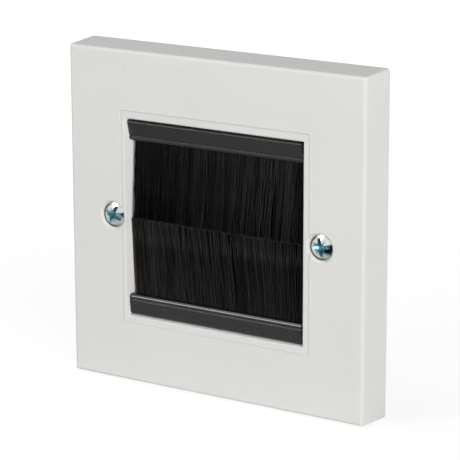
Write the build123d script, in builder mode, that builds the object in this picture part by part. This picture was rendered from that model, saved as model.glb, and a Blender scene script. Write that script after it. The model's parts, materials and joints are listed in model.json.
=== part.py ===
from build123d import *
import math
import os

# Brush wall plate: a single-gang wall plate with a brush cable outlet.
# All sizes are in millimetres. X runs to the right, Z up, and the front faces -Y.
# The origin is the middle of the plate on the wall, so the wall is the plane Y = 0.
# A "depth" below is measured back from the plate's front face.
# A "drop" is measured from a brush holder's outer edge towards the middle of the window.

# Wall plate
plate_size = 86.0
plate_depth = 10.2
plate_draft = 0.6
plate_corner_radius = 0.9
plate_edge_radius = 0.85
front_wall = 2.6
side_wall = 2.2
inner_corner_radius = 1.2

# Step in the plate that takes the insert
insert_step = 0.3
step_edge_bevel = 0.1
insert_clearance = 0.02
aperture_clearance = 0.15
collar_wall = 1.45
collar_height = 2.4
rib_width = 1.2
rib_spacing = 28.0

# Brush insert
screw_to_insert_body = 3.55
insert_flange_reach = 0.6
insert_corner_radius = 0.25
insert_flange = 0.6
insert_body_depth = 9.4
insert_side_wall = 0.94
insert_end_wall = 1.31
window_shift = 0.14
window_drop = 0.06
window_corner_radius = 0.1
window_edge_bevel = 0.25

# Snap lugs on the insert
lug_length = 6.0
lug_reach = 0.6
lug_height = 2.0
lug_spacing = 26.0
lug_clearance = 0.1
lug_slit = 0.9

# Fixing screws
screw_pitch = 60.3
screw_diameter = 3.5
screw_length = 25.0
thread_length = 18.0
thread_depth = 0.2
screw_tip_bevel = 0.6
head_diameter = 6.2
head_crown = 0.85
head_land = 0.2
head_seat_depth = 1.0
head_clearance = 0.05
recess_clearance = 0.12
recess_bevel = 0.08
cross_span = 3.9
cross_arm = 0.95
cross_depth = 1.7
cross_taper = 7.0
boss_radius = 3.9
boss_setback = 2.5
hole_clearance = 0.3
cut_overrun = 1.0
screw_turns = (18, -25)

# Brush holders
holder_left_gap = 0.05
holder_right_gap = 0.87
holder_height = 5.31
holder_back_depth = 6.3
upper_holder_gap = 0.45
lower_holder_gap = 0.05
upper_face_depth = 0.75
upper_lip_depth = 1.75
lower_face_depth = 1.35
lower_lip_depth = 0.95
face_bevel = 0.5
back_bevel = 0.28
groove_drop = 3.95
groove_bevel = 0.15
groove_width = 0.2
groove_deep = 0.25
lip_radius = 0.85
key_width = 1.0
key_depth = 3.6
key_engagement = 0.3
key_clearance = 0.05
shelf_reach = 3.0
shelf_thickness = 1.1
shelf_clearance = 0.1

# Brush strips: a crimped steel channel, a core wire and the filaments folded over it
strip_depth = 4.0
channel_width = 2.7
channel_height = 2.9
channel_wall = 0.4
channel_pinch = 0.15
channel_clearance = 0.05
channel_end_inset = 0.3
mouth_wall = 0.6
mouth_width = 2.1
wire_diameter = 1.0
wire_clearance = 0.02
filament_clearance = 0.05
bank_end_inset = 0.35
bank_tip_inset = 0.15
meeting_line = -0.6
meeting_gap = 0.16
tuft_count = 64
tuft_gap = 0.08
tuft_point = 0.2
tuft_raggedness = 0.35
tuft_setback = 0.3
golden_step = 0.618
bunching = 0.35
upper_waves = 4
upper_phase = 1.0
lower_waves = 3
lower_phase = 2.5

# Places worked out from the sizes above
plate_half = plate_size / 2
insert_body_size = screw_pitch - 2 * screw_to_insert_body
insert_size = insert_body_size + 2 * insert_flange_reach
insert_half = insert_size / 2
body_half = insert_body_size / 2
window_width = insert_body_size - 2 * insert_side_wall
window_height = insert_body_size - 2 * insert_end_wall
step_half = insert_half + insert_clearance
aperture_half = body_half + aperture_clearance
collar_half = aperture_half + collar_wall
ledge_depth = insert_step + insert_flange
collar_back = front_wall + collar_height
cavity_half = plate_half - side_wall
screw_radius = screw_diameter / 2
neck_radius = screw_radius - thread_depth
head_radius = head_diameter / 2
recess_radius = head_radius + recess_clearance
screw_places = [(-screw_pitch / 2, 0), (screw_pitch / 2, 0)]
window_left = -window_width / 2 - window_shift
holder_left = window_left + holder_left_gap
holder_length = window_width - holder_left_gap - holder_right_gap
pocket_width = channel_width + 2 * channel_clearance
pocket_height = channel_height + 2 * channel_clearance
pocket_top = holder_height - mouth_wall - pocket_height
mouth_top = holder_height - mouth_wall
channel_top = pocket_top + channel_clearance
pinch_drop = channel_top + channel_height - channel_wall
wire_drop = channel_top + channel_width / 2
draft_angle = math.degrees(math.atan2(plate_draft, plate_depth))


def plane_at(depth):
    """A sketch plane facing the front, at a depth behind the plate's front face."""
    return Plane.XZ.offset(plate_depth - depth)


def square(size, radius):
    """A square with rounded corners, centred on the plate's axis."""
    RectangleRounded(size, size, radius)


# Profile of the cavity that each screw head sits in, turned about its own axis
with BuildPart() as screw_cavity:
    with BuildSketch(Plane.XY):
        with BuildLine():
            seat = head_seat_depth + head_land - plate_depth
            mouth = recess_bevel - plate_depth
            hole = screw_radius + hole_clearance
            cone_top = head_radius + head_clearance * math.sqrt(2)
            cut_front = -plate_depth - cut_overrun
            rim_radius = recess_radius + recess_bevel
            Polyline(
                (0, cut_front),
                (rim_radius, cut_front),
                (rim_radius, -plate_depth),
                (recess_radius, mouth),
                (recess_radius, seat),
                (cone_top, seat),
                (hole, seat + cone_top - hole),
                (hole, cut_overrun),
                (0, cut_overrun),
                (0, cut_front),
            )
        make_face()
    revolve(axis=Axis.Y)

# Moulded wall plate, hollow behind, with a collar round its aperture
with BuildPart() as faceplate:
    with BuildSketch(Plane.XZ):
        square(plate_size, plate_corner_radius)
    extrude(amount=plate_depth, taper=draft_angle)
    fillet(faceplate.faces().sort_by(Axis.Y)[0].edges(), plate_edge_radius)
    with BuildSketch(Plane.XZ):
        square(2 * cavity_half, inner_corner_radius)
    extrude(amount=plate_depth - front_wall, taper=draft_angle, mode=Mode.SUBTRACT)
    with BuildSketch(plane_at(front_wall)):
        square(2 * collar_half, inner_corner_radius)
    extrude(amount=-collar_height)
    rib_length = cavity_half - collar_half
    rib_middle = (cavity_half + collar_half) / 2
    with BuildSketch(plane_at(front_wall)):
        with Locations((0, rib_middle), (0, -rib_middle)):
            with GridLocations(rib_spacing, 1, 2, 1):
                Rectangle(rib_width, rib_length)
        with Locations((rib_middle, 0), (-rib_middle, 0)):
            with GridLocations(1, rib_spacing, 1, 2):
                Rectangle(rib_length, rib_width)
    extrude(amount=-collar_height)
    with BuildSketch(plane_at(front_wall)):
        with Locations(*screw_places):
            Circle(boss_radius)
    extrude(amount=front_wall + boss_setback - plate_depth)
    with BuildSketch(plane_at(0)):
        square(2 * step_half, insert_corner_radius)
    extrude(amount=-ledge_depth, mode=Mode.SUBTRACT)
    step_rim = faceplate.faces().sort_by(Axis.Y)[0].inner_wires()[0]
    chamfer(step_rim.edges(), step_edge_bevel)
    with BuildSketch(plane_at(0)):
        square(2 * aperture_half, insert_corner_radius)
    extrude(amount=-plate_depth, mode=Mode.SUBTRACT)
    with Locations(*[(x, 0, z) for x, z in screw_places]):
        add(screw_cavity.part, mode=Mode.SUBTRACT)

# Clip-in insert: flange, walls, shelves behind the brush holders and snap lugs
with BuildPart() as brush_frame:
    with BuildSketch(plane_at(insert_step)):
        square(insert_size, insert_corner_radius)
    extrude(amount=-insert_flange)
    with BuildSketch(plane_at(ledge_depth)):
        square(insert_body_size, insert_corner_radius)
    extrude(amount=ledge_depth - insert_body_depth)
    with BuildSketch(plane_at(0)):
        with Locations((-window_shift, -window_drop)):
            RectangleRounded(window_width, window_height, window_corner_radius)
    extrude(amount=-plate_depth, mode=Mode.SUBTRACT)
    window_rim = brush_frame.faces().sort_by(Axis.Y)[0].inner_wires()[0]
    chamfer(window_rim.edges(), window_edge_bevel)
    shelf_middle = (window_height - shelf_reach) / 2
    with BuildSketch(plane_at(holder_back_depth + shelf_clearance)):
        with Locations((-window_shift, -window_drop)):
            with Locations((0, shelf_middle), (0, -shelf_middle)):
                Rectangle(window_width, shelf_reach)
    extrude(amount=-shelf_thickness)
    with BuildSketch(plane_at(key_depth - key_clearance)):
        with Locations((-window_shift, -window_drop)):
            Rectangle(window_width, window_height + 2 * (key_engagement + key_clearance))
    extrude(amount=-(key_width + 2 * key_clearance), mode=Mode.SUBTRACT)
    lug_front = collar_back + lug_clearance - plate_depth
    for side in (-1, 1):
        for place in (-lug_spacing / 2, lug_spacing / 2):
            with BuildSketch(Plane.YZ.offset(place - lug_length / 2)):
                with BuildLine():
                    Polyline(
                        (lug_front, side * (body_half - lug_clearance)),
                        (lug_front, side * (body_half + lug_reach)),
                        (lug_front + lug_height, side * body_half),
                        (lug_front + lug_height, side * (body_half - lug_clearance)),
                        close=True,
                    )
                make_face()
            extrude(amount=lug_length)
    slit_place = (lug_length + lug_slit) / 2
    slit_length = insert_body_depth - collar_back
    with BuildSketch(plane_at(collar_back)):
        with Locations((0, body_half), (0, -body_half)):
            with GridLocations(lug_spacing, 1, 2, 1):
                with Locations((slit_place, 0), (-slit_place, 0)):
                    Rectangle(lug_slit, 2 * (insert_end_wall + window_drop))
    extrude(amount=-slit_length, mode=Mode.SUBTRACT)
    with BuildSketch(plane_at(insert_step)):
        with Locations(*screw_places):
            Circle(recess_radius + insert_clearance)
    extrude(amount=-insert_flange, mode=Mode.SUBTRACT)


def section_point(side, gap):
    """Gives the function from a holder's depth and drop to its cross-section's point."""
    outer_edge = window_height / 2 - gap
    return lambda depth, drop: (depth - plate_depth, side * (outer_edge - drop) - window_drop)


def brush_holder(side, gap, face_depth, lip_depth):
    """Black profile that holds one brush strip: sloping face, groove, round lip and pocket."""
    at = section_point(side, gap)
    face_slope = (lip_depth - face_depth) / groove_drop
    face_end = groove_drop - groove_bevel
    lip_start = groove_drop + groove_width
    lip_curve = lip_radius * (1 - math.sqrt(0.5))
    key_height = gap + key_engagement
    with BuildPart() as holder:
        with BuildSketch(Plane.YZ.offset(holder_left)):
            with BuildLine():
                outline = Polyline(
                    at(lip_depth, holder_height - lip_radius),
                    at(lip_depth, lip_start + groove_width),
                    at(lip_depth + groove_width, lip_start),
                    at(lip_depth + groove_deep, lip_start),
                    at(lip_depth + groove_deep, groove_drop),
                    at(face_depth + face_slope * face_end, face_end),
                    at(face_depth + face_slope * face_bevel, face_bevel),
                    at(face_depth + face_bevel, 0),
                    at(key_depth, 0),
                    at(key_depth, -key_height),
                    at(key_depth + key_width, -key_height),
                    at(key_depth + key_width, 0),
                    at(holder_back_depth - back_bevel, 0),
                    at(holder_back_depth, back_bevel),
                    at(holder_back_depth, holder_height - back_bevel),
                    at(holder_back_depth - back_bevel, holder_height),
                    at(strip_depth + mouth_width / 2, holder_height),
                    at(strip_depth + mouth_width / 2, mouth_top),
                    at(strip_depth + pocket_width / 2, mouth_top),
                    at(strip_depth + pocket_width / 2, pocket_top),
                    at(strip_depth - pocket_width / 2, pocket_top),
                    at(strip_depth - pocket_width / 2, mouth_top),
                    at(strip_depth - mouth_width / 2, mouth_top),
                    at(strip_depth - mouth_width / 2, holder_height),
                    at(lip_depth + lip_radius, holder_height),
                )
                ThreePointArc(
                    outline @ 1,
                    at(lip_depth + lip_curve, holder_height - lip_curve),
                    outline @ 0,
                )
            make_face()
        extrude(amount=holder_length)
    return holder.part


def strip_channel(side, gap):
    """Steel channel, folded to a U and pinched near its mouth to grip the filaments."""
    at = section_point(side, gap)
    leg = (channel_width - channel_wall) / 2
    neck = leg - channel_pinch
    bend = channel_wall / 2
    with BuildPart() as channel:
        with BuildSketch(Plane.YZ.offset(holder_left + channel_end_inset)):
            with BuildLine():
                FilletPolyline(
                    at(strip_depth - neck, channel_top + channel_height),
                    at(strip_depth - neck, pinch_drop),
                    at(strip_depth - leg, pinch_drop - channel_wall),
                    at(strip_depth - leg, channel_top + bend),
                    at(strip_depth + leg, channel_top + bend),
                    at(strip_depth + leg, pinch_drop - channel_wall),
                    at(strip_depth + neck, pinch_drop),
                    at(strip_depth + neck, channel_top + channel_height),
                    radius=bend + channel_clearance,
                )
            trace(line_width=channel_wall)
        extrude(amount=holder_length - 2 * channel_end_inset)
    return channel.part


def core_wire(side, gap):
    """Round wire that the filaments are folded over."""
    at = section_point(side, gap)
    with BuildPart() as wire:
        with BuildSketch(Plane.YZ.offset(holder_left + channel_end_inset)):
            with Locations(at(strip_depth, wire_drop)):
                Circle(wire_diameter / 2)
        extrude(amount=holder_length - 2 * channel_end_inset)
    return wire.part


def spread(place, waves, phase):
    """Bunches and opens the tufts along the bank: 0 to 1 in, 0 to 1 out, always rising."""
    turn = 2 * math.pi * waves
    return place + bunching * (math.sin(turn * place + phase) - math.sin(phase)) / turn


def bristles(side, gap, waves, phase):
    """Filaments folded over the wire, leaving the holder's mouth as a row of tufts."""
    at = section_point(side, gap)
    fold = channel_width / 2 - channel_wall - filament_clearance
    neck = fold - channel_pinch
    mouth = mouth_width / 2 - filament_clearance
    root_left = holder_left + bank_end_inset
    root_length = holder_length - 2 * bank_end_inset
    tip_left = window_left + bank_tip_inset
    tip_length = window_width - 2 * bank_tip_inset
    root_level = at(0, holder_height)[1]
    tip_level = meeting_line + side * meeting_gap / 2
    with BuildPart() as bank:
        with BuildSketch(Plane.YZ.offset(root_left)):
            with BuildLine():
                legs = Polyline(
                    at(strip_depth - fold, wire_drop),
                    at(strip_depth - fold, pinch_drop - channel_wall),
                    at(strip_depth - neck, pinch_drop),
                    at(strip_depth - neck, channel_top + channel_height),
                    at(strip_depth - mouth, holder_height),
                    at(strip_depth + mouth, holder_height),
                    at(strip_depth + neck, channel_top + channel_height),
                    at(strip_depth + neck, pinch_drop),
                    at(strip_depth + fold, pinch_drop - channel_wall),
                    at(strip_depth + fold, wire_drop),
                )
                ThreePointArc(legs @ 1, at(strip_depth, wire_drop - fold), legs @ 0)
            make_face()
            with Locations(at(strip_depth, wire_drop)):
                Circle(wire_diameter / 2 + wire_clearance, mode=Mode.SUBTRACT)
        extrude(amount=root_length)
        tufts = []
        for tuft in range(tuft_count):
            start = tuft / tuft_count
            end = (tuft + 1) / tuft_count
            scatter = tuft * golden_step % 1
            root_start = root_left + root_length * start + tuft_gap / 2
            root_end = root_left + root_length * end - tuft_gap / 2
            tip_start = tip_left + tip_length * spread(start, waves, phase) + tuft_gap / 2
            tip_end = tip_left + tip_length * spread(end, waves, phase) - tuft_gap / 2
            tip_middle = (tip_start + tip_end) / 2
            point_level = tip_level + side * tuft_raggedness * scatter
            setback = tuft_setback * scatter
            with BuildSketch(plane_at(strip_depth - mouth + setback)):
                with BuildLine():
                    Polyline(
                        (root_start, root_level),
                        (tip_start, point_level + side * tuft_point),
                        (tip_middle, point_level),
                        (tip_end, point_level + side * tuft_point),
                        (root_end, root_level),
                        close=True,
                    )
                make_face()
            tufts.append(extrude(amount=setback - 2 * mouth, mode=Mode.PRIVATE))
        add(tufts)
    return bank.part


# The two brush strips, each with its holder
upper_brush_holder = brush_holder(1, upper_holder_gap, upper_face_depth, upper_lip_depth)
lower_brush_holder = brush_holder(-1, lower_holder_gap, lower_face_depth, lower_lip_depth)
upper_strip_channel = strip_channel(1, upper_holder_gap)
lower_strip_channel = strip_channel(-1, lower_holder_gap)
upper_core_wire = core_wire(1, upper_holder_gap)
lower_core_wire = core_wire(-1, lower_holder_gap)
upper_bristles = bristles(1, upper_holder_gap, upper_waves, upper_phase)
lower_bristles = bristles(-1, lower_holder_gap, lower_waves, lower_phase)

# One fixing screw on the Y axis: raised countersunk head with a cross recess, a plain
# neck, and a plain rod of the thread's full diameter where the thread is
with BuildPart() as fixing_screw:
    crown = head_seat_depth - head_crown - plate_depth
    rim = head_seat_depth - plate_depth
    cone = rim + head_land
    tip = rim + screw_length
    thread_start = tip - thread_length
    with BuildSketch(Plane.XY):
        with BuildLine():
            TangentArc((0, crown), (head_radius, rim), tangent=(1, 0))
            Polyline(
                (head_radius, rim),
                (head_radius, cone),
                (neck_radius, cone + head_radius - neck_radius),
                (neck_radius, thread_start),
                (screw_radius, thread_start + thread_depth),
                (screw_radius, tip - screw_tip_bevel),
                (screw_radius - screw_tip_bevel, tip),
                (0, tip),
                (0, crown),
            )
        make_face()
    revolve(axis=Axis.Y)
    with BuildSketch(Plane.ZX.offset(crown)):
        Rectangle(cross_span, cross_arm)
        Rectangle(cross_arm, cross_span)
    extrude(amount=cross_depth, taper=cross_taper, mode=Mode.SUBTRACT)

# The pair of screws, each left at its own angle when it was tightened
with BuildPart() as fixing_screws:
    for (x, z), turn in zip(screw_places, screw_turns):
        with Locations(Location((x, 0, z), (0, turn, 0))):
            add(fixing_screw.part)

pieces = {
    "faceplate": faceplate.part,
    "brush_frame": brush_frame.part,
    "upper_brush_holder": upper_brush_holder,
    "lower_brush_holder": lower_brush_holder,
    "upper_strip_channel": upper_strip_channel,
    "lower_strip_channel": lower_strip_channel,
    "upper_core_wire": upper_core_wire,
    "lower_core_wire": lower_core_wire,
    "upper_bristles": upper_bristles,
    "lower_bristles": lower_bristles,
    "fixing_screws": fixing_screws.part,
}

os.makedirs("parts", exist_ok=True)
for name, piece in pieces.items():
    piece.label = name
    export_step(piece, f"parts/{name}.step")
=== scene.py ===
import json
import math

import bmesh
import bpy
import numpy as np
from mathutils import Matrix, Vector

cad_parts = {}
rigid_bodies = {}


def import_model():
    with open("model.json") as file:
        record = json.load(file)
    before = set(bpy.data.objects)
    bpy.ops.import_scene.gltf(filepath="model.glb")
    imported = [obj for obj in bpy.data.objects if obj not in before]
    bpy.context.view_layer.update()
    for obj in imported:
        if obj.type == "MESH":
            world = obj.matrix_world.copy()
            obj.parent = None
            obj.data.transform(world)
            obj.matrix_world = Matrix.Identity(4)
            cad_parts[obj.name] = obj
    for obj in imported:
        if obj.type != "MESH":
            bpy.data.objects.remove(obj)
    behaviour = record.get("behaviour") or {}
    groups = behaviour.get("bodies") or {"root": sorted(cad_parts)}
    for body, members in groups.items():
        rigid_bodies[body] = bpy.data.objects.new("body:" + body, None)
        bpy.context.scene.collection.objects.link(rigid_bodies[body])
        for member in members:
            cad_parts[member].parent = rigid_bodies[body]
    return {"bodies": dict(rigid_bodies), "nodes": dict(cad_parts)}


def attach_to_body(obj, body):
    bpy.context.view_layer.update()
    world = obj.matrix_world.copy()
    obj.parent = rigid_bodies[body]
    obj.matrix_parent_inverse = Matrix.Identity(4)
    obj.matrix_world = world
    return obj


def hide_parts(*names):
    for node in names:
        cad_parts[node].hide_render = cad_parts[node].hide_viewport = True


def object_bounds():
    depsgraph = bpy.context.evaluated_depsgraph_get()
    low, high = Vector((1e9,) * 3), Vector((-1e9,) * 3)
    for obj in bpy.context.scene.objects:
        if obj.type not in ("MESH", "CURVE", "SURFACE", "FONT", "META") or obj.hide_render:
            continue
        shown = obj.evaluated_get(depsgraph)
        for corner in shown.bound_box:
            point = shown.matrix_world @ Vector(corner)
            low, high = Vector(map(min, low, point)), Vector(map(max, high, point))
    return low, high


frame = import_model()
cad_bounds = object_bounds()
body = list(frame["bodies"])[0]
MM = 0.001

# Places that several pieces share, in millimetres: the wall is at Y 0 and the face at -plate_depth
box_low = [round(v / MM, 3) for v in cad_bounds[0]]
box_high = [round(v / MM, 3) for v in cad_bounds[1]]
plate_depth = -box_low[1]
screw_pitch = 60.3
screw_offset = screw_pitch / 2
insert_half = 27.2


class Nodes:
    """A shader node tree whose nodes are added and linked in one call each."""

    def __init__(self, tree):
        self.nodes = tree.nodes
        self.links = tree.links

    def add(self, kind, values=None, **settings):
        node = self.nodes.new("ShaderNode" + kind)
        for key, value in settings.items():
            setattr(node, key, value)
        for key, value in (values or {}).items():
            self.give(node.inputs[key], value)
        return node

    def give(self, socket, value):
        if isinstance(value, bpy.types.NodeSocket):
            self.links.new(value, socket)
        else:
            socket.default_value = value

    def span(self, value, low, high, to_low=0.0, to_high=1.0, **settings):
        """Takes the run from low to high onto the run from to_low to to_high, and stops at its ends."""
        ends = {"Value": value, "From Min": low, "From Max": high, "To Min": to_low, "To Max": to_high}
        return self.add("MapRange", ends, **settings).outputs["Result"]

    def maths(self, kind, a, b=0.0):
        return self.add("Math", {0: a, 1: b}, operation=kind).outputs[0]

    def vector(self, kind, a, b=(0, 0, 0)):
        node = self.add("VectorMath", {0: a, 1: b}, operation=kind)
        return node.outputs["Value" if kind in ("LENGTH", "DOT_PRODUCT") else "Vector"]

    def blend(self, factor, a, b):
        """Mix of two colours, each of them a socket or three numbers."""
        node = self.add("Mix", data_type="RGBA")
        self.give(node.inputs[0], factor)
        for index, colour in ((6, a), (7, b)):
            if not isinstance(colour, bpy.types.NodeSocket):
                colour = (*colour, 1)
            self.give(node.inputs[index], colour)
        return node.outputs[2]

    def by_ray(self, plain, mirrored, seen):
        """Joins a shader for plain light, one for reflections and one for what the camera sees."""
        rays = self.add("LightPath").outputs
        result = plain.outputs[0]
        for ray, shader in (("Is Glossy Ray", mirrored), ("Is Camera Ray", seen)):
            result = self.add("MixShader", {0: rays[ray], 1: result, 2: shader.outputs[0]}).outputs[0]
        return result


class Shader(Nodes):
    """A material, with its textures placed in the object's own coordinates."""

    def __init__(self, name):
        self.material = bpy.data.materials.new(name)
        self.material.use_nodes = True
        super().__init__(self.material.node_tree)
        self.surface = self.nodes["Principled BSDF"]
        self.place = self.add("TexCoord").outputs["Object"]

    def finish(self, **values):
        """Sets the surface's inputs, with _ for each space in their names, and returns the material."""
        for key, value in values.items():
            self.give(self.surface.inputs[key.replace("_", " ")], value)
        return self.material

    def axes(self):
        return self.add("SeparateXYZ", {0: self.place}).outputs

    def attribute(self, name):
        return self.add("Attribute", attribute_name=name).outputs["Fac"]

    def noise(self, scale, detail, stretch=(1, 1, 1)):
        """Noise in the object's own millimetres; scale is in features per millimetre."""
        spot = self.vector("MULTIPLY", self.place, tuple(s / MM for s in stretch))
        return self.add("TexNoise", {"Vector": spot, "Scale": scale, "Detail": detail}).outputs["Fac"]

    def bump(self, height, distance, strength, normal=None):
        values = {"Height": height, "Distance": distance, "Strength": strength}
        if normal is not None:
            values["Normal"] = normal
        return self.add("Bump", values).outputs["Normal"]

    def rounded(self, radius, samples=4):
        return self.add("Bevel", {"Radius": radius}, samples=samples).outputs["Normal"]


# Scuffs on the plate: x, z, half length and half width in millimetres, and a turn in degrees
scuffs = (
    (-25.8, 38.1, 0.8, 0.35, 20),
    (-9.8, 38.7, 0.7, 0.3, -15),
    (-24.8, -30.7, 0.5, 0.3, 40),
    (-27.6, -32.5, 0.8, 0.35, 70),
    (33.5, -15.2, 0.7, 0.3, 10),
)

# Where painted shade round the screw recesses and painted light on the window walls begin on the white
# pieces, and how round their edges look
ring_radius = 3.3
window_wall = 26.0
edge_radius = 0.18 * MM


def spots(shader, places):
    """Mask of small worn marks at the given places."""
    mask = 0.0
    for x, z, half_length, half_width, turn in places:
        shift = shader.vector("SUBTRACT", shader.place, (x * MM, 0, z * MM))
        angle = math.radians(turn)
        swing = shader.add("VectorRotate", {"Vector": shift, "Angle": angle}, rotation_type="Y_AXIS")
        stretch = (1 / (half_length * MM), 0, 1 / (half_width * MM))
        far = shader.vector("LENGTH", shader.vector("MULTIPLY", swing.outputs[0], stretch))
        mask = shader.maths("MAXIMUM", mask, shader.span(far, 0.3, 1.0, 1.0, 0.0))
    return mask


def recess_painted_shade(shader):
    """Mask that fades in with depth round the two screw axes, for painted shade in the recesses there."""
    axes = shader.axes()
    aside = shader.maths("SUBTRACT", shader.maths("ABSOLUTE", axes["X"]), screw_offset * MM)
    flat = shader.add("CombineXYZ", {0: aside, 2: axes["Z"]}).outputs[0]
    near = shader.span(shader.vector("LENGTH", flat), ring_radius * MM, (ring_radius + 0.1) * MM, 1.0, 0.0)
    deep = shader.span(axes["Y"], (1.05 - plate_depth) * MM, (1.4 - plate_depth) * MM)
    return shader.maths("MULTIPLY", near, deep)


def seam_painted_shade(shader):
    """Mask of the insert's left and top edges, for painted shade in the joint there."""
    axes = shader.axes()
    left = shader.span(axes["X"], (0.35 - insert_half) * MM, (0.1 - insert_half) * MM, 0.0, 0.5)
    top = shader.span(axes["Z"], (insert_half - 0.25) * MM, (insert_half - 0.05) * MM, 0.0, 0.08)
    front = shader.span(axes["Y"], (1.0 - plate_depth) * MM, (0.6 - plate_depth) * MM)
    return shader.maths("MULTIPLY", shader.maths("MAXIMUM", left, top), front)


def window_walls_painted_light(shader):
    """Mask of the window's inner walls, which are painted paler than the face as painted light."""
    axes = shader.axes()
    mask = shader.span(axes["Y"], (0.35 - plate_depth) * MM, (0.7 - plate_depth) * MM)
    for axis in ("X", "Z"):
        size = shader.maths("ABSOLUTE", axes[axis])
        inside = shader.span(size, window_wall * MM, (window_wall + 0.2) * MM, 1.0, 0.0)
        mask = shader.maths("MULTIPLY", mask, inside)
    return mask


def plate_marks(shader, colour):
    """Scuffs on the plate's face."""
    broken = shader.span(shader.noise(3.0, 3.0), 0.35, 0.6, 0.2, 1.0)
    worn = shader.maths("MULTIPLY", spots(shader, scuffs), broken)
    return shader.blend(shader.maths("MULTIPLY", worn, 0.22), colour, (0.42, 0.41, 0.38))


def insert_painted_light_and_shade(shader, colour):
    """Painted light on the walls inside the window, and painted shade in the joint round the insert."""
    # Painted light: the window's inner walls are painted paler
    colour = shader.blend(window_walls_painted_light(shader), colour, (0.88, 0.885, 0.87))
    # Painted shade: the joint's left and top edges are darkened brown
    return shader.blend(seam_painted_shade(shader), colour, (0.46, 0.38, 0.32))


def white_plastic(name, light, shade, marks_and_painted_light):
    """Moulded white plastic: soft gloss, faint clouding, a trace of grain, scuffs on the plate, painted
    light and shade on the insert, and painted shade in the screw recesses.
    """
    s = Shader(name)
    colour = s.blend(s.span(s.noise(0.045, 3.0), 0.35, 0.65), shade, light)
    colour = marks_and_painted_light(s, colour)
    # Painted shade: the deep walls round the screw recesses are darkened
    colour = s.blend(recess_painted_shade(s), colour, (0.12, 0.11, 0.08))
    gloss = s.span(s.noise(0.35, 4.0), 0.3, 0.7, 0.44, 0.54)
    normal = s.bump(s.noise(2.2, 3.0), 0.00002, 0.25, s.rounded(edge_radius))
    return s.finish(Base_Color=colour, Roughness=gloss, Normal=normal, Specular_IOR_Level=0.32)


def black_plastic():
    """Extruded black plastic: satin, with faint draw lines along its length and dust."""
    s = Shader("black_holder")
    mottle = s.span(s.noise(0.9, 4.0), 0.3, 0.7)
    colour = s.blend(mottle, (0.0032, 0.0032, 0.0038), (0.0060, 0.0060, 0.0066))
    dust = s.span(s.noise(6.0, 2.0), 0.70, 0.78)
    colour = s.blend(s.maths("MULTIPLY", dust, 0.35), colour, (0.09, 0.09, 0.09))
    draw = s.noise(1.0, 2.0, (0.004, 5.0, 5.0))
    gloss = s.span(draw, 0.3, 0.7, 0.18, 0.28)
    # The upper holder's lip, below this height, is duller than the rest
    height = s.axes()["Z"]
    upper = s.span(height, 0.0, 1.0 * MM)
    dull = s.maths("MULTIPLY", s.span(height, 21.2 * MM, 20.8 * MM, 0.0, 0.34), upper)
    gloss = s.maths("ADD", gloss, dull)
    normal = s.bump(draw, 0.00002, 0.3, s.rounded(edge_radius, 12))
    return s.finish(Base_Color=colour, Roughness=gloss, Normal=normal, Specular_IOR_Level=0.74)


def galvanised():
    """Galvanised steel: grey, with small spangles."""
    s = Shader("galvanised_steel")
    spangle = s.add("TexVoronoi", {"Vector": s.place, "Scale": 900.0}).outputs["Color"]
    tone = s.add("RGBToBW", {"Color": spangle}).outputs[0]
    colour = s.blend(tone, (0.40, 0.41, 0.42), (0.62, 0.63, 0.64))
    gloss = s.span(s.noise(1.5, 4.0), 0.3, 0.7, 0.32, 0.5)
    return s.finish(Base_Color=colour, Roughness=gloss, Normal=s.bump(tone, 0.00001, 0.3), Metallic=1.0)


def zinc():
    """Bright zinc plate: pale, bluer in the recess, with fine plating marks and painted shade on the rim's
    lower left.
    """
    s = Shader("zinc_screw")
    recess, painted_rim_shade = s.attribute("recess"), s.attribute("painted_rim_shade")
    plated = s.blend(s.span(s.noise(1.3, 3.0), 0.42, 0.6), (0.86, 0.88, 0.86), (0.72, 0.80, 0.81))
    inner = s.blend(s.span(s.noise(2.2, 2.0), 0.4, 0.6), (0.15, 0.32, 0.36), (0.31, 0.53, 0.59))
    colour = s.blend(recess, plated, inner)
    # Painted shade: the rim's lower left is darkened, standing in for the shaded gap it faces
    colour = s.blend(painted_rim_shade, colour, (0.085, 0.068, 0.042))
    gloss = s.span(s.noise(2.5, 4.0), 0.3, 0.7, 0.04, 0.09)
    gloss = s.maths("ADD", gloss, s.maths("MULTIPLY", recess, 0.40))
    gloss = s.maths("ADD", gloss, s.maths("MULTIPLY", painted_rim_shade, 0.35))
    normal = s.bump(s.noise(1.8, 4.0), 0.00003, 0.35)
    return s.finish(Base_Color=colour, Roughness=gloss, Normal=normal, Metallic=1.0)


def nylon():
    """Black nylon filament: each has its own shade, which also carries painted light and shade along the
    bank, with cut ends a little paler.
    """
    s = Shader("black_nylon")
    shade = s.attribute("shade")
    colour = s.blend(shade, (0.0008, 0.0008, 0.0011), (0.030, 0.029, 0.028))
    colour = s.blend(s.attribute("warm"), colour, (0.20, 0.115, 0.065))
    cut_end = s.span(s.attribute("along"), 0.975, 1.0, 0.0, 0.5)
    colour = s.blend(cut_end, colour, (0.07, 0.065, 0.06))
    gloss = s.span(shade, 0.0, 1.0, 0.42, 0.30)
    return s.finish(Base_Color=colour, Roughness=gloss, Specular_IOR_Level=0.16)


def smooth(o, angle):
    """Smooth shading, but flat on faces square to an axis, and sharp at edges over this angle."""
    for face in o.data.polygons:
        face.use_smooth = max(abs(v) for v in face.normal) < 0.99999
    o.data.set_sharp_from_angle(angle=math.radians(angle))


def dress(o, material):
    o.data.materials.clear()
    o.data.materials.append(material)


def attach(o, node):
    """Puts a new piece into the scene in the place of a CAD node."""
    bpy.context.collection.objects.link(o)
    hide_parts(node)
    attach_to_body(o, body)


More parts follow.
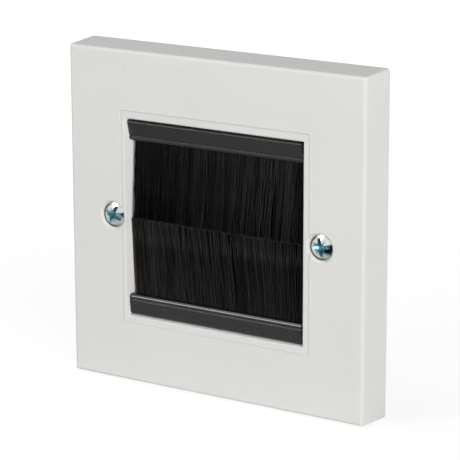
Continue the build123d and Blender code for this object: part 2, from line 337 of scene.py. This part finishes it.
# The filaments: three-sided tubes, gathered in clumps and in finer locks, root to tip
filament_radius = 0.078
filament_sides = 3
filament_rings = 4
filament_count = 8600
clump_count = 42
lock_count = 190
stray_share = 0.022
bank_depth = 4.0
bank_half_thickness = 0.98
rear_start = 0.2
rear_looseness = 0.1
root_hidden = 0.9
tip_forward = 0.45
tip_overlap = 0.12
upper_mouth = 19.4
lower_mouth = -20.1
meeting_line = -0.6


def ramp(x, knots):
    """Straight runs between (place, value) knots."""
    return np.interp(x, [k[0] for k in knots], [k[1] for k in knots])


def grouped(rng, count, ends, x):
    """Parts the run between the ends unevenly: the parts' centres, and which part each x lies in."""
    low, high = ends
    widths = rng.uniform(0.5, 1.6, count)
    edges = low + (high - low) * np.concatenate([[0], np.cumsum(widths) / widths.sum()])
    return (edges[:-1] + edges[1:]) / 2, np.clip(np.searchsorted(edges, x) - 1, 0, count - 1)


def between(start, end, share):
    """Places on the way from start to end: a row for each filament, a column for each share."""
    return start[:, None] + np.outer(end - start, share)


def tube_faces(count, downward):
    """Corners of the tubes' sides and of the caps at their tips, wound to face outwards."""
    sides = []
    for ring in range(filament_rings - 1):
        low, high = ring * filament_sides, (ring + 1) * filament_sides
        for corner in range(filament_sides):
            after = (corner + 1) % filament_sides
            sides.append([low + corner, low + after, high + after, high + corner])
    sides = np.array(sides)
    cap = np.arange(filament_sides) + (filament_rings - 1) * filament_sides
    if downward:
        sides, cap = sides[:, ::-1], cap[::-1]
    first = np.arange(count) * filament_rings * filament_sides
    return (first[:, None, None] + sides).reshape(-1, 4), first[:, None] + cap


def tube_mesh(name, paths, thickness, turn, downward):
    """One mesh of tubes. paths has the places of each tube's rings, and turn is the tube's own twist."""
    angles = np.arange(filament_sides) * 2 * math.pi / filament_sides + math.pi / 2
    angles = (angles + turn[:, None])[:, None, :]
    reach = thickness[:, None, None]
    points = np.repeat(paths[:, :, None, :], filament_sides, axis=2)
    points[..., 0] += reach * np.cos(angles)
    points[..., 1] += reach * np.sin(angles)
    sides, caps = tube_faces(len(paths), downward)
    loops = np.concatenate([sides.reshape(-1), caps.reshape(-1)])
    cap_starts = sides.size + np.arange(len(caps)) * filament_sides
    starts = np.concatenate([np.arange(len(sides)) * 4, cap_starts])
    mesh = bpy.data.meshes.new(name)
    mesh.vertices.add(points.size // 3)
    mesh.vertices.foreach_set("co", points.reshape(-1) * MM)
    mesh.loops.add(len(loops))
    mesh.loops.foreach_set("vertex_index", loops.astype(np.int32))
    mesh.polygons.add(len(starts))
    mesh.polygons.foreach_set("loop_start", starts.astype(np.int32))
    mesh.update(calc_edges=True)
    mesh.validate()
    mesh.polygons.foreach_set("use_smooth", np.arange(len(mesh.polygons)) < len(sides))
    return mesh


def set_attribute(mesh, name, domain, values):
    layer = mesh.attributes.new(name, "FLOAT", domain)
    layer.data.foreach_set("value", np.asarray(values, dtype=np.float32))


def bank(name, node, side, root_range, tip_range, lean, pull, tone, front, seed):
    """One bank of filaments. side is 1 for the upper one and -1 for the lower one.

    Four lists of (x, value) knots shape it: lean moves the tips sideways, pull gathers them,
    tone is painted light and shade that brightens or darkens them along the bank, and front moves them
    back.
    """
    rng = np.random.RandomState(seed)
    n = filament_count
    share = (np.arange(n) + rng.uniform(0, 1, n)) / n
    root_x = root_range[0] + (root_range[1] - root_range[0]) * share
    tip_x = tip_range[0] + (tip_range[1] - tip_range[0]) * share
    root_y = rng.uniform(-1, 1, n) * bank_half_thickness
    clump_x, clump = grouped(rng, clump_count, tip_range, tip_x)
    lock_x, lock = grouped(rng, lock_count, tip_range, tip_x)

    def by_clump(spread):
        return rng.normal(0, spread, clump_count)[clump]

    def by_lock(spread):
        return rng.normal(0, spread, lock_count)[lock]

    def each(spread):
        return rng.normal(0, spread, n)

    # Tips move towards their clump and lock, the rear ones less, so that no light comes through
    loose = np.where(root_y < rear_start, 1.0, rear_looseness)
    strength = ramp(tip_x, pull) * loose
    clump_pull = rng.uniform(0.05, 0.7, clump_count)[clump] * strength
    lock_pull = rng.uniform(0.2, 0.9, lock_count)[lock] * strength
    tip_x = tip_x + (lock_x[lock] - tip_x) * lock_pull
    tip_x = tip_x + (clump_x[clump] - tip_x) * clump_pull
    tip_x += by_clump(0.3) * strength
    tip_x += each(0.14) + ramp(tip_x, lean)
    sway = by_clump(0.14) + by_lock(0.12)
    tip_y = root_y * rng.uniform(0.75, 1.1, n) + sway + ramp(tip_x, front) - tip_forward
    reach = by_clump(0.05) + each(0.07) - np.abs(each(0.08))
    tip_z = meeting_line - side * (tip_overlap + reach)
    root_z = np.full(n, (upper_mouth if side > 0 else lower_mouth) + side * root_hidden)
    bow_x = by_clump(0.16) * loose + each(0.14)
    bow_y = by_lock(0.12)
    shade = rng.beta(0.45, 3.2, lock_count)[lock] + 0.45 * rng.beta(0.8, 4.5, n)
    # Painted light and shade: the tone knots brighten or darken the colour along the bank
    shade = shade * ramp(tip_x, tone)

    # A few strays lie in front of the rest, askew and mostly brighter
    stray = rng.uniform(0, 1, n) < stray_share
    strays = stray.sum()
    root_y[stray] = -bank_half_thickness - rng.uniform(0, 0.05, strays)
    tip_y[stray] = root_y[stray] + rng.uniform(-0.5, 0.1, strays) - tip_forward
    tip_x[stray] += rng.normal(0, 0.9, strays)
    bow_x[stray] += rng.normal(0, 0.4, strays)
    shade[stray] = rng.uniform(0.35, 1.25, strays) * ramp(tip_x[stray], tone)
    shade = np.clip(shade, 0, 1)
    tip_x = np.clip(tip_x, tip_range[0] - 0.1, tip_range[1] + 0.1)

    # The lower bank's left edge has a row of warm brown filaments
    warm = np.zeros(n)
    if side < 0:
        warm = np.clip((root_range[0] + 0.7 - root_x) / 0.35, 0, 1) * rng.uniform(0.55, 1.0, n)
    turn = rng.uniform(0, 2 * math.pi, n)
    thickness = filament_radius * rng.uniform(0.85, 1.1, n)
    along = np.arange(filament_rings) / (filament_rings - 1)
    bend = along * along * (3 - 2 * along) * 0.45 + along * 0.55
    arch = np.sin(math.pi * along)
    x = between(root_x, tip_x, bend) + np.outer(bow_x, arch)
    y = between(root_y, tip_y, bend) + np.outer(bow_y, arch) + bank_depth - plate_depth
    z = between(root_z, tip_z, along)
    mesh = tube_mesh(name, np.stack([x, y, z], axis=-1), thickness, turn, side > 0)
    corners = filament_rings * filament_sides
    set_attribute(mesh, "shade", "POINT", np.repeat(shade, corners))
    set_attribute(mesh, "warm", "POINT", np.repeat(warm, corners))
    set_attribute(mesh, "along", "POINT", np.tile(np.repeat(along, filament_sides), n))
    o = bpy.data.objects.new(name, mesh)
    attach(o, node)
    return o


def evaluated(o):
    """The object's mesh with its modifiers applied."""
    graph = bpy.context.evaluated_depsgraph_get()
    return bpy.data.meshes.new_from_object(o.evaluated_get(graph))


def circle(bm, depth, radii):
    """A ring of vertices about the Y axis, with a radius for each."""
    ring = []
    for k, radius in enumerate(radii):
        a = 2 * math.pi * k / len(radii)
        ring.append(bm.verts.new((radius * math.cos(a), depth, radius * math.sin(a))))
    return ring


def skin(bm, rings):
    """Faces between neighbouring rings. A ring of one vertex makes a closed end."""
    for low, high in zip(rings, rings[1:]):
        count = max(len(low), len(high))
        for k in range(count):
            after = (k + 1) % count
            if len(low) == 1:
                bm.faces.new((low[0], high[k], high[after]))
            elif len(high) == 1:
                bm.faces.new((low[k], low[after], high[0]))
            else:
                bm.faces.new((low[k], low[after], high[after], high[k]))


def lathe(bm, profile, segments):
    """Turns (depth, radius) pairs about the Y axis; a radius of 0 closes an end."""
    rings = []
    for depth, radius in profile:
        rings.append(circle(bm, depth, [radius] * (segments if radius > 0 else 1)))
    skin(bm, rings)


def prism(bm, corners_top, corners_bottom):
    """A closed block between two loops of corners."""
    top = [bm.verts.new(c) for c in corners_top]
    bottom = [bm.verts.new(c) for c in corners_bottom]
    count = len(top)
    bm.faces.new(top)
    bm.faces.new(bottom[::-1])
    for k in range(count):
        after = (k + 1) % count
        bm.faces.new((top[after], top[k], bottom[k], bottom[after]))


def temporary(name, bm):
    """A passing object for a boolean cut."""
    bmesh.ops.recalc_face_normals(bm, faces=bm.faces)
    mesh = bpy.data.meshes.new(name)
    bm.to_mesh(mesh)
    bm.free()
    o = bpy.data.objects.new(name, mesh)
    bpy.context.collection.objects.link(o)
    return o


def discard(objects):
    for o in objects:
        bpy.data.objects.remove(o, do_unlink=True)


# Screws: raised head with a driven cross recess, neck, and a real helical thread
head_radius = 3.09
head_segments = 72
dome_height = 0.85
dome_radius = (head_radius ** 2 + dome_height ** 2) / (2 * dome_height)
dome_steps = 14
head_rim = 1.1 - plate_depth
crown = head_rim - dome_height
rim_round = 0.16
rim_drop = 0.12
rim_steps = 5
head_cone = head_rim + 0.2
neck_radius = 1.55
thread_radius = 1.75
thread_length = 18.0
thread_segments = 24
pitch = 0.6
rows_a_pitch = 6
crest_height = 0.85
groove_depth = 0.16
tip_place = box_high[1]
tip_radius = thread_radius - 0.6
thread_start = tip_place - thread_length
left_turn = 23
right_turn = -11

# Cutters of the recess: half length, place behind the crown and half width at both ends of a bar
cross_mouth = (3.45, -0.5, 0.54)
cross_floor = (1.3, 1.65, 0.40)
tick_mouth = (2.3, -0.3, 0.12)
tick_floor = (1.6, 0.6, 0.07)
core_profile = ((-0.5, 0.0), (-0.5, 1.42), (1.9, 0.55), (2.1, 0.0))


def dome(radius):
    """Depth of the head's domed skin at a distance from its axis."""
    return crown + dome_radius - math.sqrt(max(dome_radius ** 2 - radius ** 2, 0))


def bars(name, turns, mouth, floor):
    """Cutter of crossed bars that narrow from the mouth to the floor of a recess."""
    bm = bmesh.new()
    for turn in turns:
        swing = Matrix.Rotation(math.radians(turn), 4, "Y")
        ends = []
        for half_length, depth, half_width in (mouth, floor):
            corners = []
            for x, z in ((-1, -1), (1, -1), (1, 1), (-1, 1)):
                corners.append(swing @ Vector((x * half_length, crown + depth, z * half_width)))
            ends.append(corners)
        prism(bm, *ends)
    return temporary(name, bm)


def head_mesh():
    """Head and neck, with the cross recess and the ticks between its arms cut in."""
    bm = bmesh.new()
    profile = [(crown, 0.0)]
    for k in range(1, dome_steps + 1):
        radius = (head_radius - rim_round) * k / dome_steps
        profile.append((dome(radius), radius))
    for k in range(1, rim_steps + 1):
        a = math.radians(25 + 65 * k / rim_steps)
        radius = head_radius - rim_round + rim_round * math.sin(a)
        profile.append((head_rim + 0.02 - rim_drop * math.cos(a), radius))
    profile += [(head_cone, head_radius), (head_cone + head_radius - neck_radius, neck_radius)]
    profile += [(thread_start, neck_radius), (thread_start + 0.5, 0.0)]
    lathe(bm, profile, head_segments)
    head = temporary("head", bm)
    bm = bmesh.new()
    lathe(bm, [(crown + depth, radius) for depth, radius in core_profile], 8)
    core = temporary("core", bm)
    cross = bars("cross", (0, 90), cross_mouth, cross_floor)
    ticks = bars("ticks", (45, 135), tick_mouth, tick_floor)
    for tool in (cross, core, ticks):
        cut = head.modifiers.new(tool.name, "BOOLEAN")
        cut.operation = "DIFFERENCE"
        cut.solver = "EXACT"
        cut.use_self = True
        cut.object = tool
    mesh = evaluated(head)
    discard((cross, core, ticks, head))
    return mesh


def thread_mesh():
    """Helical thread that grows out of the neck, with a bevelled tip."""
    bm = bmesh.new()
    rows = int(round(thread_length / pitch * rows_a_pitch))
    rings = []
    for row in range(rows + 1):
        depth = thread_start + thread_length * row / rows
        fade = min(1.0, row / rows_a_pitch / 1.5)
        root = neck_radius - groove_depth * fade
        radii = []
        for k in range(thread_segments):
            wave = (row / rows_a_pitch - k / thread_segments) % 1.0
            crest = 1 - abs(2 * wave - 1) * 1.25
            crest = min(max(crest, 0.0), crest_height) / crest_height
            radius = root + (thread_radius - root) * crest * fade
            radii.append(min(radius, tip_radius + (tip_place - depth)))
        rings.append(circle(bm, depth, radii))
    skin(bm, rings)
    bm.faces.new(rings[-1])
    bmesh.ops.recalc_face_normals(bm, faces=bm.faces)
    mesh = bpy.data.meshes.new("thread")
    bm.to_mesh(mesh)
    bm.free()
    return mesh


def from_axis(place):
    """A place's distances from the axis of its own screw, in X, Y, Z and in all, in millimetres."""
    x, y, z = place / MM
    aside = x - math.copysign(screw_offset, x)
    return aside, y, z, math.hypot(aside, z)


def mark_screws(mesh):
    """Attributes for the zinc: the faces inside the recess, and painted shade along the rim's lower left.
    """
    recess, painted_rim_shade = [], []
    for face in mesh.polygons:
        _, y, _, radius = from_axis(face.center)
        inside = dome(radius) + 0.03 < y < crown + 2.2 and radius < 2.8
        recess.append(1.0 if inside else 0.0)
    # Painted shade: a dark band near the rim, on its lower left only
    for v in mesh.vertices:
        aside, y, z, radius = from_axis(v.co)
        low_left = math.cos(math.atan2(z, aside) - math.radians(200))
        near_rim = np.interp(radius, (2.42, 2.70), (0.0, 1.0)) * (y < head_cone)
        painted_rim_shade.append(near_rim * float(np.interp(low_left, (-0.45, 0.25), (0.0, 0.95))))
    set_attribute(mesh, "recess", "FACE", recess)
    set_attribute(mesh, "painted_rim_shade", "POINT", painted_rim_shade)


def screws():
    """Both screws as one piece, each with its recess at its own angle."""
    bm = bmesh.new()
    head, thread = head_mesh(), thread_mesh()
    for x, turn in ((-screw_offset, left_turn), (screw_offset, right_turn)):
        place = Matrix.Translation((x, 0, 0)) @ Matrix.Rotation(math.radians(turn), 4, "Y")
        for part in (head, thread):
            before = len(bm.verts)
            bm.from_mesh(part)
            bm.verts.ensure_lookup_table()
            bmesh.ops.transform(bm, matrix=place, verts=bm.verts[before:])
    mesh = bpy.data.meshes.new("screw_pair")
    bm.to_mesh(mesh)
    bm.free()
    mesh.transform(Matrix.Scale(MM, 4))
    mark_screws(mesh)
    o = bpy.data.objects.new("screw_pair", mesh)
    smooth(o, 28)
    attach(o, "fixing_screws")
    return o


# The screw recesses flare out towards the face, so that a whole head shows from the side
flare_mouth = 3.86
flare_foot = 3.24
flare_depth = 1.0
flare_segments = 96
flare_front = -1.0 - plate_depth
flare_back = flare_depth - plate_depth
insert_lean = 0.28
lean_depth = 0.6


def flared(name, node):
    """A copy of a CAD piece with both of its screw recesses flared."""
    bm = bmesh.new()
    bm.from_mesh(frame["nodes"][node].data)
    bmesh.ops.remove_doubles(bm, verts=bm.verts, dist=0.0005 * MM)
    whole = temporary(name + "_whole", bm)
    wide = 2 * flare_mouth - flare_foot
    profile = [(flare_front, 0.0), (flare_front, wide), (flare_back, flare_foot), (flare_back, 0.0)]
    cutters = []
    for x in (-screw_offset, screw_offset):
        bm = bmesh.new()
        lathe(bm, profile, flare_segments)
        bmesh.ops.transform(bm, matrix=Matrix.Scale(MM, 4) @ Matrix.Translation((x, 0, 0)), verts=bm.verts)
        cutter = temporary("flare", bm)
        cut = whole.modifiers.new(cutter.name, "BOOLEAN")
        cut.operation = "DIFFERENCE"
        cut.solver = "EXACT"
        cut.object = cutter
        cutters.append(cutter)
    mesh = evaluated(whole)
    mesh.name = name
    discard((*cutters, whole))
    # The cut leaves slivers across the flat face, which would shade unevenly
    bm = bmesh.new()
    bm.from_mesh(mesh)
    bmesh.ops.dissolve_degenerate(bm, dist=0.002 * MM, edges=bm.edges)
    bmesh.ops.dissolve_limit(bm, angle_limit=math.radians(0.4), verts=bm.verts, edges=bm.edges)
    bm.to_mesh(mesh)
    bm.free()
    piece = bpy.data.objects.new(name, mesh)
    piece.modifiers.new("even", "WEIGHTED_NORMAL").keep_sharp = True
    attach(piece, node)
    return piece


def lean_forward(piece):
    """Tips the insert's face forward, by nothing at its upper left and most at its lower right."""
    for v in piece.data.vertices:
        x, y, z = v.co / MM
        if y < lean_depth - plate_depth:
            v.co.y -= insert_lean * (x - z + 2 * insert_half) / (4 * insert_half) * MM


# Materials on the CAD pieces
plate_white = white_plastic("white_plate", (0.742, 0.746, 0.717), (0.730, 0.734, 0.704), plate_marks)
insert_white = white_plastic("white_insert", (0.742, 0.748, 0.728), (0.730, 0.736, 0.714), insert_painted_light_and_shade)
holder_black = black_plastic()
steel = galvanised()
dressing = {
    "faceplate": (plate_white, "white_plate"),
    "brush_frame": (insert_white, "white_insert"),
    "upper_brush_holder": (holder_black, "black_holder"),
    "lower_brush_holder": (holder_black, "black_holder"),
    "upper_strip_channel": (steel, "galvanised_steel"),
    "lower_strip_channel": (steel, "galvanised_steel"),
    "upper_core_wire": (steel, "galvanised_steel"),
    "lower_core_wire": (steel, "galvanised_steel"),
}
opened = {
    "faceplate": flared("plate_shell", "faceplate"),
    "brush_frame": flared("insert_frame", "brush_frame"),
}
lean_forward(opened["brush_frame"])
for node, (material, slot_name) in dressing.items():
    o = opened.get(node, frame["nodes"][node])
    smooth(o, 25)
    dress(o, material)

# The two banks. Where the front value is below zero that bank's tips hang in front.
filament = nylon()
upper_front = (
    (-25.4, 0.25), (-13.4, 0.25), (-12.0, -0.25), (7.4, -0.25), (8.6, 0.25),
    (12.2, 0.25), (13.2, 0.0), (16.0, -0.2), (25.0, -0.25),
)
lower_front = tuple((x, -value) for x, value in upper_front)
# The tone knots are painted shade and light: the upper bank dark at its left and bright at its right, the
# lower bank a little paler at its left.
upper_bank = bank(
    "upper_bank", "upper_bristles", 1, (-24.88, 24.3), (-25.2, 24.6),
    lean=((-25.0, 0.0), (-15.0, -0.2), (0.0, -1.0), (15.0, -1.4), (22.0, -0.9), (25.0, -0.2)),
    pull=((-25.0, 0.25), (-12.0, 0.5), (0.0, 0.9), (25.0, 1.0)),
    tone=((-25.0, 0.08), (-14.0, 0.2), (-4.0, 0.75), (6.0, 1.2), (25.0, 1.85)),
    front=upper_front, seed=11)
lower_bank = bank(
    "lower_bank", "lower_bristles", -1, (-25.35, 24.3), (-25.7, 25.0),
    lean=((-25.0, -0.2), (-15.0, -1.5), (0.0, -2.1), (12.0, -1.9), (20.0, -1.0), (25.0, 0.0)),
    pull=((-25.0, 0.4), (-12.0, 0.8), (0.0, 1.0), (25.0, 0.7)),
    tone=((-25.0, 1.05), (-10.0, 0.78), (25.0, 0.76)),
    front=lower_front, seed=23)
for o in (upper_bank, lower_bank):
    dress(o, filament)
dress(screws(), zinc())


# Floor, light and camera
floor_drop = 0.1
floor_half = 3.0
stand_towards = (0.38, -0.925, 0.0)


def stage_floor():
    """Plain floor, white to the camera with a faint shadow, and greyer in reflections."""
    bm = bmesh.new()
    bmesh.ops.create_grid(bm, x_segments=2, y_segments=2, size=floor_half)
    mesh = bpy.data.meshes.new("floor")
    bm.to_mesh(mesh)
    bm.free()
    o = bpy.data.objects.new("floor", mesh)
    o.location.z = (box_low[2] - floor_drop) * MM
    bpy.context.collection.objects.link(o)
    s = Shader("floor")
    s.nodes.remove(s.surface)
    lit = s.add("BsdfDiffuse", {"Color": (0.75, 0.75, 0.75, 1)})
    # The camera sees a white floor that keeps a faint shadow near the object
    far = s.vector("LENGTH", s.place)
    glow = s.add("Emission", {"Color": (1, 1, 1, 1), "Strength": s.span(far, 0.10, 0.45, 0.86, 1.0)})
    pale = s.add("BsdfDiffuse", {"Color": (0.22, 0.22, 0.22, 1)})
    seen = s.add("AddShader", {0: pale.outputs[0], 1: glow.outputs[0]})
    # Reflections see the dark place where a photographer stands
    facing = s.vector("DOT_PRODUCT", s.vector("NORMALIZE", s.place), stand_towards)
    dark = s.maths("MULTIPLY", s.span(facing, 0.90, 0.97), s.span(far, 0.05, 0.08))
    sheet = s.blend(s.span(far, 0.09, 0.14), (0.80, 0.81, 0.78), (0.48, 0.48, 0.48))
    mirrored = s.add("BsdfDiffuse", {"Color": s.blend(dark, sheet, (0.012, 0.012, 0.025))})
    s.give(s.nodes["Material Output"].inputs["Surface"], s.by_ray(lit, mirrored, seen))
    mesh.materials.append(s.material)


# Name, direction from the object, distance, size and power
softboxes = (
    ("key", (-0.49, -0.76, 0.42), 1.3, (0.46, 0.30), 4.7),
    ("fill", (0.80, -0.55, 0.11), 1.35, (0.8, 0.85), 20.0),
    ("top", (-0.30, -0.20, 0.93), 1.4, (0.9, 0.7), 6.5),
    ("back", (0.35, 0.92, 0.18), 1.5, (0.9, 0.4), 6.0),
)
world_strength = 0.03
gloss_strength = 0.85
dark_strength = 0.03
dark_towards = (0.51, -0.84, -0.18)


def softbox(name, towards, distance, size, power):
    """Oblong soft light that faces the object from the given direction."""
    light = bpy.data.lights.new(name, "AREA")
    light.shape = "RECTANGLE"
    light.size, light.size_y = size
    light.energy = power
    o = bpy.data.objects.new(name, light)
    direction = Vector(towards).normalized()
    o.location = direction * distance
    o.rotation_euler = direction.to_track_quat("Z", "Y").to_euler()
    bpy.context.collection.objects.link(o)


def studio():
    """The softboxes, and a world that is white to the camera and has a dark place in reflections."""
    world = bpy.data.worlds.new("studio")
    world.use_nodes = True
    tree = Nodes(world.node_tree)
    lit = tree.nodes["Background"]
    tree.give(lit.inputs["Color"], (0.96, 0.98, 1.0, 1))
    tree.give(lit.inputs["Strength"], world_strength)
    seen = tree.add("Background", {"Color": (1, 1, 1, 1), "Strength": 1.0})
    towards = tree.add("TexCoord").outputs["Generated"]
    facing = tree.vector("DOT_PRODUCT", towards, Vector(dark_towards).normalized())
    ends = (0.90, 0.97, gloss_strength, dark_strength)
    strength = tree.span(facing, *ends, interpolation_type="SMOOTHSTEP")
    mirrored = tree.add("Background", {"Color": (0.95, 0.98, 1.0, 1), "Strength": strength})
    tree.give(tree.nodes["World Output"].inputs["Surface"], tree.by_ray(lit, mirrored, seen))
    bpy.context.scene.world = world
    for light in softboxes:
        softbox(*light)


# The camera fitted to the photograph: azimuth, elevation and roll in degrees, place and lens in millimetres
camera_angles = (32.806, 14.542, -0.182)
camera_place = (302.816, -472.190, 143.646)
camera_lens = 183.27
camera_sensor = 36.0


def camera():
    azimuth, elevation, roll = (math.radians(v) for v in camera_angles)
    level = math.cos(elevation)
    back = Vector((math.sin(azimuth) * level, -math.cos(azimuth) * level, math.sin(elevation)))
    right = (-back).cross(Vector((0, 0, 1))).normalized()
    up = right.cross(-back)
    across = math.cos(roll) * right + math.sin(roll) * up
    upward = -math.sin(roll) * right + math.cos(roll) * up
    data = bpy.data.cameras.new("camera")
    data.sensor_width = camera_sensor
    data.lens = camera_lens
    data.clip_start, data.clip_end = 0.05, 20.0
    o = bpy.data.objects.new("camera", data)
    turn = Matrix((across, upward, back)).transposed().to_4x4()
    o.matrix_world = Matrix.Translation(Vector(camera_place) * MM) @ turn
    bpy.context.collection.objects.link(o)
    bpy.context.scene.camera = o


stage_floor()
studio()
camera()
bpy.context.scene.view_settings.view_transform = "Standard"


def plain(box):
    return [[float(v) for v in corner] for corner in box]
